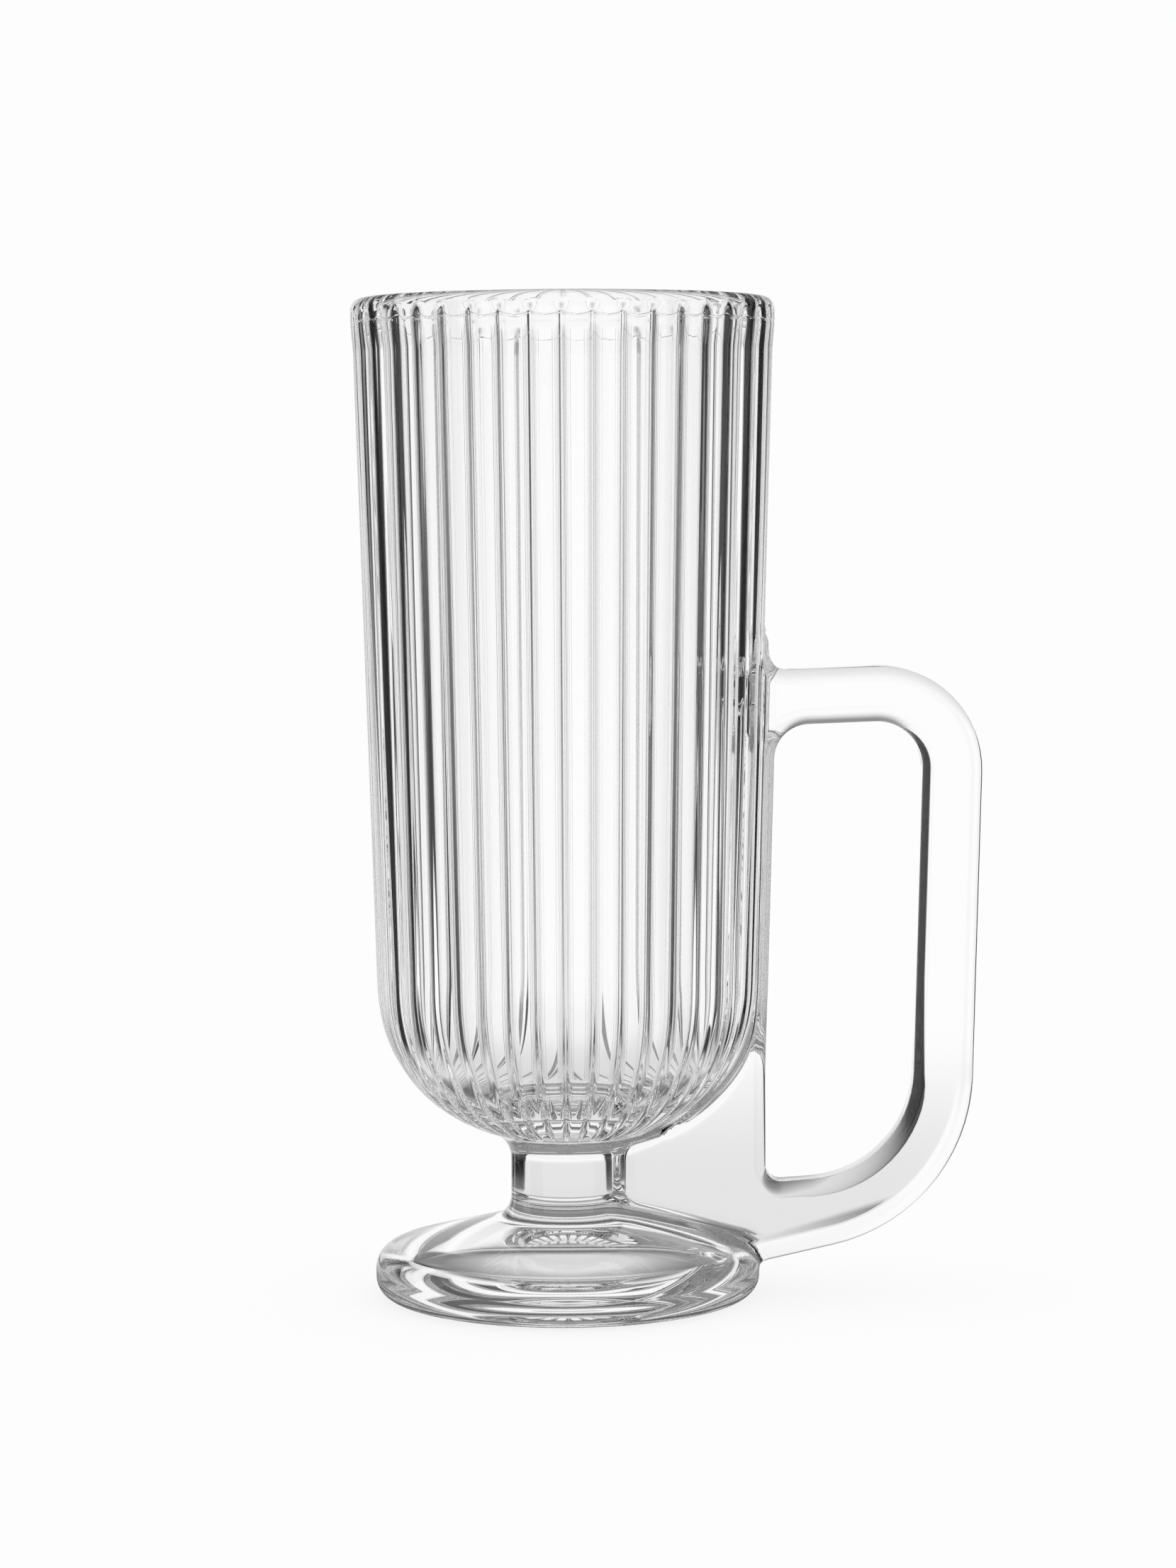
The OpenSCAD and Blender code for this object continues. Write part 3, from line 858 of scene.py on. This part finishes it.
def join_drafts(heap, mug_ob, plate_ob):
    """Adds the two solids joined, without the cap, and as hidden faces the mug's skin inside the plate."""
    points, faces, tags = boolean(mug_ob, plate_ob, "UNION")
    keep = np.nonzero(tags != CAP)[0]
    heap.add(points, [faces[i] for i in keep], tags[keep])
    points, faces, tags = boolean(mug_ob, plate_ob, "INTERSECT")
    keep = np.nonzero(np.isin(tags, (FOOT, STEM, BOWL, RIM)))[0]
    heap.add(points, [faces[i] for i in keep], tags[keep] + HIDDEN)
    for ob in (mug_ob, plate_ob):
        bpy.data.objects.remove(ob)


def build_glass(mug, plate):
    """All outside, inside and hidden faces of the glass: points, faces, and a tag for each face."""
    phis = column_angles()
    for z in (STEM_LOW_Z, STEM_TOP_Z, BAND_Z, CUT_Z):
        mug.out.snap_row(mug.out.where(z))
    mug.inside.snap_row(mug.inside.where(BAND_Z, rising=False))
    rows, in_rows = np.unique(mug.out.rows), np.unique(mug.inside.rows)
    heights, in_heights = mug.out.at(rows)[1], mug.inside.at(in_rows)[1]
    tags, in_tags = tags_between(heights), tags_between(in_heights)
    cut = int(np.argmin(np.abs(heights - CUT_Z)))
    band, in_band = np.argmin(np.abs(heights - BAND_Z)), np.argmin(np.abs(in_heights - BAND_Z))

    heap = Heap()
    mug_ob = draft_mug(mug, rows[:cut + 1], tags[:cut], heights[cut], phis)
    join_drafts(heap, mug_ob, draft_plate(mug, plate))
    heap.add_grid(mug.surface(rows[cut:], phis), tags[cut:])
    heap.add_grid(mug.lining(in_rows, phis), in_tags)
    ring = np.concatenate([mug.surface([rows[band]], phis), mug.lining([in_rows[in_band]], phis)])
    heap.add_grid(ring, [LIP_RING])
    return welded(heap.points, heap.faces, heap.tags)


def round_joints(points, mug, plate, joined):
    """Moves the points close to where plate and mug meet onto the fillet between them."""
    close = (points[:, 0] > BLEND_FROM_X) & (np.abs(points[:, 1]) < PLATE_T / 2 + 2 * FILLET_REACH)
    near = np.nonzero(close)[0]
    a, b = mug.field(points[near])[0], plate.field(points[near])[0]
    on = (np.abs(np.minimum(a, b)) < SURFACE) & (np.abs(a - b) < blend_reach(points[near]))
    moved = near[on]
    points[moved] = settle(points[moved], joined)


def field_normals(points, mug, joined):
    """Outward normals of the glass at every point: the lining's on the lining, else the outside's."""
    d, inner = mug.lining_field(points)
    lining = (np.abs(d) < SURFACE) & (points[:, 2] > STEM_TOP_Z)
    _, normals = joined(points)
    a = mug.field(points)[0]
    lining &= np.abs(a) > SURFACE
    normals[lining] = inner[lining]
    return normals / np.maximum(np.linalg.norm(normals, axis=1), TINY)[:, None]


def shared_edges(faces, owners):
    """Edges between faces of two pieces, keyed by the pieces, each run the way of the first piece's face."""
    seen = {}
    for face, owner in zip(faces, owners):
        for i, v in enumerate(face):
            u = face[i - 1]
            seen.setdefault((u, v) if u < v else (v, u), []).append((owner, u, v))
    found = {}
    for uses in seen.values():
        pieces = {use[0] for use in uses}
        if len(pieces) > 1:
            for owner, u, v in uses:
                for other in pieces - {owner}:
                    found.setdefault((owner, other), []).append((u, v))
    return found


def pieces_of(points, faces, tags):
    """Glass faces and parting faces of each piece. Parting faces lie inside the glass and show nothing."""
    glass = {i: [] for i in range(len(NAMES))}
    parting = {i: [] for i in range(len(NAMES))}
    owners = []
    for face, tag in zip(faces, tags):
        if tag < CAP:
            glass[tag].append(face)
            owners.append(tag)
        elif tag == LIP_RING:
            parting[BOWL].append(face)
            parting[RIM].append(face[::-1])
            owners.append(LIP_RING)
        else:
            parting[tag - HIDDEN].append(face)
            low = np.mean([points[v][2] for v in face]) < SPINE_LOW_Z
            parting[WEB if low else SPINE].append(face[::-1])
            owners.append(tag - HIDDEN)
    edges = shared_edges(faces, owners)
    points = list(map(tuple, points))
    for first, second in ((FOOT, STEM), (STEM, BOWL), (WEB, SPINE), (HANDLE, WEB), (HANDLE, SPINE)):
        ring = edges.get((first, second), [])
        centre = np.mean([points[v] for edge in ring for v in edge], axis=0)
        if first in (FOOT, STEM):
            centre[:2] = 0
        points.append(tuple(centre))
        middle = len(points) - 1
        for u, v in ring:
            parting[first].append([v, u, middle])
            parting[second].append([u, v, middle])
    return np.array(points), glass, parting


def make_piece(name, points, normals, glass, parting, looks):
    """One piece of the glass as an object: its glass faces, and parting faces that let all light through."""
    faces = glass + parting
    used = np.unique([v for f in faces for v in f])
    place = np.full(len(points), -1)
    place[used] = np.arange(len(used))
    mesh = bpy.data.meshes.new(f"glass_{name}")
    mesh.from_pydata((points[used] * MM).tolist(), [], [[int(place[v]) for v in f] for f in faces])
    mesh.polygons.foreach_set("use_smooth", [True] * len(faces))
    mesh.polygons.foreach_set("material_index", [0] * len(glass) + [1] * len(parting))
    mesh.materials.append(looks[0])
    mesh.materials.append(looks[1])
    mesh.update()
    mesh.normals_split_custom_set_from_vertices(normals[used].tolist())
    ob = bpy.data.objects.new(f"glass_{name}", mesh)
    bpy.context.scene.collection.objects.link(ob)
    return ob


def nodes_of(material):
    material.use_nodes = True
    tree = material.node_tree
    tree.nodes.clear()
    return tree.nodes, tree.links


def noise(nodes, links, place, length, detail):
    """A procedural noise with features of a length in metres."""
    found = nodes.new("ShaderNodeTexNoise")
    found.inputs["Scale"].default_value = 1 / length
    found.inputs["Detail"].default_value = detail
    links.new(place.outputs["Object"], found.inputs["Vector"])
    return found.outputs["Fac"]


def relief(nodes, links, height, depth, before=None):
    """A bump of a depth in metres, on top of another one."""
    bump = nodes.new("ShaderNodeBump")
    bump.inputs["Strength"].default_value = 1
    bump.inputs["Distance"].default_value = depth
    links.new(height, bump.inputs["Height"])
    if before is not None:
        links.new(before, bump.inputs["Normal"])
    return bump.outputs["Normal"]


def clear_glass(name, grained):
    """Clear pressed glass with a faint slow waviness and, where asked for, a grained underside."""
    material = bpy.data.materials.new(name)
    nodes, links = nodes_of(material)
    out = nodes.new("ShaderNodeOutputMaterial")
    shader = nodes.new("ShaderNodeBsdfPrincipled")
    shader.inputs["Base Color"].default_value = GLASS_TINT
    shader.inputs["Transmission Weight"].default_value = 1
    shader.inputs["IOR"].default_value = GLASS_IOR
    shader.inputs["Roughness"].default_value = GLASS_ROUGHNESS
    place = nodes.new("ShaderNodeTexCoord")
    normal = relief(nodes, links, noise(nodes, links, place, WAVE_LENGTH, WAVE_DETAIL), WAVE)
    if grained:
        height = nodes.new("ShaderNodeSeparateXYZ")
        links.new(place.outputs["Object"], height.inputs["Vector"])
        low = nodes.new("ShaderNodeMapRange")
        low.interpolation_type = "SMOOTHSTEP"
        low.inputs["From Min"].default_value = GRAIN_FULL_Z
        low.inputs["From Max"].default_value = GRAIN_END_Z
        low.inputs["To Min"].default_value = 1
        low.inputs["To Max"].default_value = 0
        links.new(height.outputs["Z"], low.inputs["Value"])
        part = nodes.new("ShaderNodeMath")
        part.operation = "MULTIPLY"
        links.new(noise(nodes, links, place, GRAIN_LENGTH, GRAIN_DETAIL), part.inputs[0])
        links.new(low.outputs["Result"], part.inputs[1])
        normal = relief(nodes, links, part.outputs["Value"], GRAIN, normal)
    links.new(normal, shader.inputs["Normal"])
    links.new(shader.outputs["BSDF"], out.inputs["Surface"])
    return material


def parting_look():
    material = bpy.data.materials.new("parting")
    nodes, links = nodes_of(material)
    out = nodes.new("ShaderNodeOutputMaterial")
    shader = nodes.new("ShaderNodeBsdfTransparent")
    links.new(shader.outputs["BSDF"], out.inputs["Surface"])
    return material


def floor_look():
    """White floor glowing at the background's level, with a painted shadow: a little darker close to what
    stands on it.
    """
    material = bpy.data.materials.new("floor")
    nodes, links = nodes_of(material)
    out = nodes.new("ShaderNodeOutputMaterial")
    # Painted shadow: ambient occlusion darkens the glowing floor close to the glass.
    near = nodes.new("ShaderNodeAmbientOcclusion")
    near.inputs["Distance"].default_value = SHADOW_REACH
    near.samples = SHADOW_SAMPLES
    ramp = nodes.new("ShaderNodeMapRange")
    ramp.inputs["To Min"].default_value = WHITE * (1 - SHADOW_DEPTH)
    ramp.inputs["To Max"].default_value = WHITE
    links.new(near.outputs["AO"], ramp.inputs["Value"])
    shader = nodes.new("ShaderNodeEmission")
    links.new(ramp.outputs["Result"], shader.inputs["Color"])
    links.new(shader.outputs["Emission"], out.inputs["Surface"])
    return material


def stand(name, mesh, look, to_camera):
    """A part of the stage."""
    mesh.materials.append(look)
    ob = bpy.data.objects.new(name, mesh)
    bpy.context.scene.collection.objects.link(ob)
    ob.visible_camera = to_camera
    ob.visible_diffuse = False
    ob.visible_shadow = False
    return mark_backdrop(ob)


def tent_level(angle, away, z):
    """How bright the tent is: white, with a grey top, and painted shade on its floor: grey near the mug and a
    dark ring round the foot.

    Dark upright stripes draw the edges of the glass.
    """
    # Painted shadow: the tent's floor greys towards the mug, for the mug's shadow as the glass sees the
    # floor.
    near = 1 - smooth((away - PAINTED_SHADE_FULL_R) / (PAINTED_SHADE_END_R - PAINTED_SHADE_FULL_R))
    level = WHITE + (PAINTED_SHADE_LEVEL - WHITE) * near
    # Painted shade: a dark ring on the tent's floor round the foot, on the floor only.
    ring = soft_step(away - RING_SHADE_IN, RING_SHADE_SOFT_IN) * soft_step(RING_SHADE_OUT - away, RING_SHADE_SOFT_OUT)
    level = np.where(z <= 0, level + (RING_SHADE_LEVEL - level) * ring, WHITE)
    dark = 0
    for low, high in STRIPES:
        dark = dark + soft_step(angle - low, STRIPE_SOFT) * soft_step(high - angle, STRIPE_SOFT)
    dark = dark * smooth((away - STRIPE_NEAR) / (STRIPE_FULL - STRIPE_NEAR))
    level = level + (DARK - level) * np.minimum(dark, 1)
    return level + (TOP_LEVEL - level) * smooth((z - TOP_FROM_Z) / (TOP_FULL_Z - TOP_FROM_Z))


def make_tent():
    """A round tent about the mug, which the glass shows and the camera looks through."""
    rings = [(r, 0) for r in np.linspace(0, TENT_R, TENT_RINGS)]
    rings += [(TENT_R, z) for z in np.linspace(0, TENT_H, TENT_RINGS)[1:]]
    rings += [(r, TENT_H) for r in np.linspace(TENT_R, 0, TENT_RINGS)[1:]]
    angles = np.linspace(-180, 180, TENT_COLUMNS + 1)[:-1]
    away, angle = np.meshgrid([r for r, _ in rings], angles, indexing="ij")
    z = np.meshgrid([z for _, z in rings], angles, indexing="ij")[0]
    a = np.radians(angle)
    points = np.stack([away * np.sin(a), away * np.cos(a), z - FLOOR_GAP / 2], -1).reshape(-1, 3)
    faces, _ = grid_faces(len(rings), TENT_COLUMNS, [0] * (len(rings) - 1))
    mesh = bpy.data.meshes.new("tent")
    mesh.from_pydata(points.tolist(), [], faces)
    levels = tent_level(angle, away, z).ravel()
    colours = np.stack([levels, levels, levels, np.ones(len(levels))], -1)
    mesh.attributes.new("level", "FLOAT_COLOR", "POINT").data.foreach_set("color", colours.ravel())
    look = bpy.data.materials.new("tent")
    nodes, links = nodes_of(look)
    out = nodes.new("ShaderNodeOutputMaterial")
    paint = nodes.new("ShaderNodeAttribute")
    paint.attribute_name = "level"
    shader = nodes.new("ShaderNodeEmission")
    links.new(paint.outputs["Color"], shader.inputs["Color"])
    links.new(shader.outputs["Emission"], out.inputs["Surface"])
    stand("tent", mesh, look, False)


def make_stage():
    """White floor and surroundings to the camera, and the tent to the glass."""
    h, z = FLOOR_HALF, -FLOOR_GAP
    mesh = bpy.data.meshes.new("floor")
    mesh.from_pydata([(-h, -h, z), (h, -h, z), (h, h, z), (-h, h, z)], [], [(0, 1, 2, 3)])
    stand("floor", mesh, floor_look(), True)
    make_tent()
    world = bpy.data.worlds.new("white")
    bpy.context.scene.world = world
    world.use_nodes = True
    nodes, links = world.node_tree.nodes, world.node_tree.links
    nodes.clear()
    out = nodes.new("ShaderNodeOutputWorld")
    shader = nodes.new("ShaderNodeBackground")
    shader.inputs["Color"].default_value = (WHITE, WHITE, WHITE, 1)
    links.new(shader.outputs["Background"], out.inputs["Surface"])


def make_camera():
    data = bpy.data.cameras.new("camera")
    data.sensor_width = SENSOR
    data.sensor_fit = "HORIZONTAL"
    data.lens = LENS
    data.clip_end = CLIP_END
    camera = bpy.data.objects.new("camera", data)
    bpy.context.scene.collection.objects.link(camera)
    turn = Matrix.Rotation(math.pi / 2 - CAMERA_DOWN, 4, "X") @ Matrix.Rotation(CAMERA_ROLL, 4, "Z")
    camera.matrix_world = Matrix.Translation(CAMERA_PLACE) @ turn
    bpy.context.scene.camera = camera


def main():
    make_camera()
    make_stage()
    scene = bpy.context.scene
    scene.view_settings.view_transform = "Standard"
    scene.cycles.max_bounces = BOUNCES
    scene.cycles.transmission_bounces = BOUNCES
    scene.cycles.glossy_bounces = BOUNCES
    scene.cycles.transparent_max_bounces = BOUNCES

    mug, plate = Mug(), Plate()
    joined = joined_field(mug, plate)
    points, faces, tags = build_glass(mug, plate)
    round_joints(points, mug, plate, joined)
    normals = field_normals(points, mug, joined)
    points, glass, parting = pieces_of(points, faces, tags)
    extra = len(points) - len(normals)
    normals = np.r_[normals, np.tile([0.0, 0.0, 1.0], (extra, 1))]
    plain, grained = clear_glass("clear_glass", False), clear_glass("grained_glass", True)
    hidden = parting_look()
    for i, name in enumerate(NAMES):
        look = grained if name == "foot" else plain
        piece = make_piece(name, points, normals, glass[i], parting[i], (look, hidden))
        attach(piece, "root")
        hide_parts(name)
    for tag in range(TAGS):
        bpy.data.materials.remove(bpy.data.materials[f"tag{tag}"])


main()
